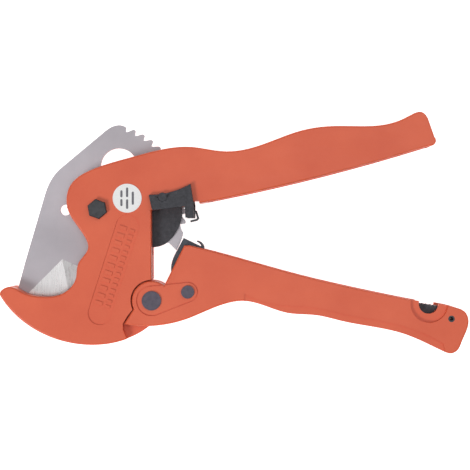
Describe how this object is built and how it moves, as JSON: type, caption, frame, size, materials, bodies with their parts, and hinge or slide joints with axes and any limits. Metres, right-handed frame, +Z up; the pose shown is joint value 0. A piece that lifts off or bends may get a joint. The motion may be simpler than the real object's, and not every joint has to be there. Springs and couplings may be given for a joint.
{
  "type": "ratchet pipe cutter",
  "caption": "Hand ratchet cutter for plastic pipe: hooked jaw, pivoting toothed blade, two channel handles, drive pawl, release lever and lock latch.",
  "frame": {"origin": "middle of the tool's length and width, on the surface that it lies on", "axes": "the tool lies on its side; +X from the jaw to the handle ends, +Y towards the fixed handle, +Z up, along the pivots"},
  "size_m": [0.2145, 0.1106, 0.0232],
  "materials": {
    "orange_paint": "orange powder coat over die-cast aluminium",
    "blade_steel": "ground, satin",
    "black_steel": "black oxide",
    "zinc_steel": "blued zinc",
    "spring_steel": "drawn wire",
    "dark_pawl_steel": "hardened, dark",
    "black_plastic": "matt",
    "white_label": "matt film"
  },
  "bodies": {
    "frame": {"frame_casting": "orange_paint", "blade_pivot_bolt": "black_steel", "blade_pivot_nut": "black_steel", "blade_pivot_washer": "zinc_steel", "blade_bush": "zinc_steel", "lever_rivets": "black_steel", "sector_guard_front": "black_plastic", "sector_guard_rear": "black_plastic", "latch_catch_pin": "zinc_steel", "caution_disc": "white_label", "blade_return_spring": "spring_steel", "handle_return_spring": "spring_steel"},
    "blade": {"blade": "blade_steel"},
    "moving_handle": {"moving_handle_casting": "orange_paint", "handle_pivot_pin": "zinc_steel", "handle_pivot_clip": "zinc_steel", "drive_pawl_pin": "zinc_steel", "drive_pawl_clip": "zinc_steel", "latch_pin": "black_steel", "drive_pawl_spring": "spring_steel"},
    "drive_pawl": {"drive_pawl": "dark_pawl_steel", "pawl_bush": "zinc_steel"},
    "release_lever": {"release_lever": "black_plastic", "retaining_leaf": "black_steel"},
    "lock_latch": {"lock_latch": "black_plastic"}
  },
  "joints": [
    {"name": "blade_pivot", "type": "hinge", "parent": "frame", "child": "blade", "pos_m": [-0.06254, 0.0108, 0.0116], "axis": [0, 0, 1], "range_deg": [-81.6, 0], "deforming": ["blade_return_spring"]},
    {"name": "handle_pivot", "type": "hinge", "parent": "frame", "child": "moving_handle", "pos_m": [-0.03795, -0.03102, 0.0116], "axis": [0, 0, 1], "range_deg": [0, 27], "stiffness_Nm_per_rad": 0.4, "springref_deg": -28.65, "deforming": ["handle_return_spring"]},
    {"name": "drive_pawl_pivot", "type": "hinge", "parent": "moving_handle", "child": "drive_pawl", "pos_m": [-0.02141, -0.02703, 0.0116], "axis": [0, 0, 1], "range_deg": [-41, 0], "deforming": ["drive_pawl_spring"]},
    {"name": "release_lever_pivot", "type": "hinge", "parent": "frame", "child": "release_lever", "pos_m": [-0.03284, 0.0163, 0.0116], "axis": [0, 0, 1], "range_deg": [0, 8], "stiffness_Nm_per_rad": 0.05, "springref_deg": -17.19},
    {"name": "latch_pivot", "type": "hinge", "parent": "moving_handle", "child": "lock_latch", "pos_m": [0.09906, -0.0393, 0.0116], "axis": [0, 0, 1], "range_deg": [-90.5, 0]}
  ],
  "couplings": [
    {"joint": "drive_pawl_pivot", "follows": "handle_pivot", "ratio": -1.45}
  ]
}
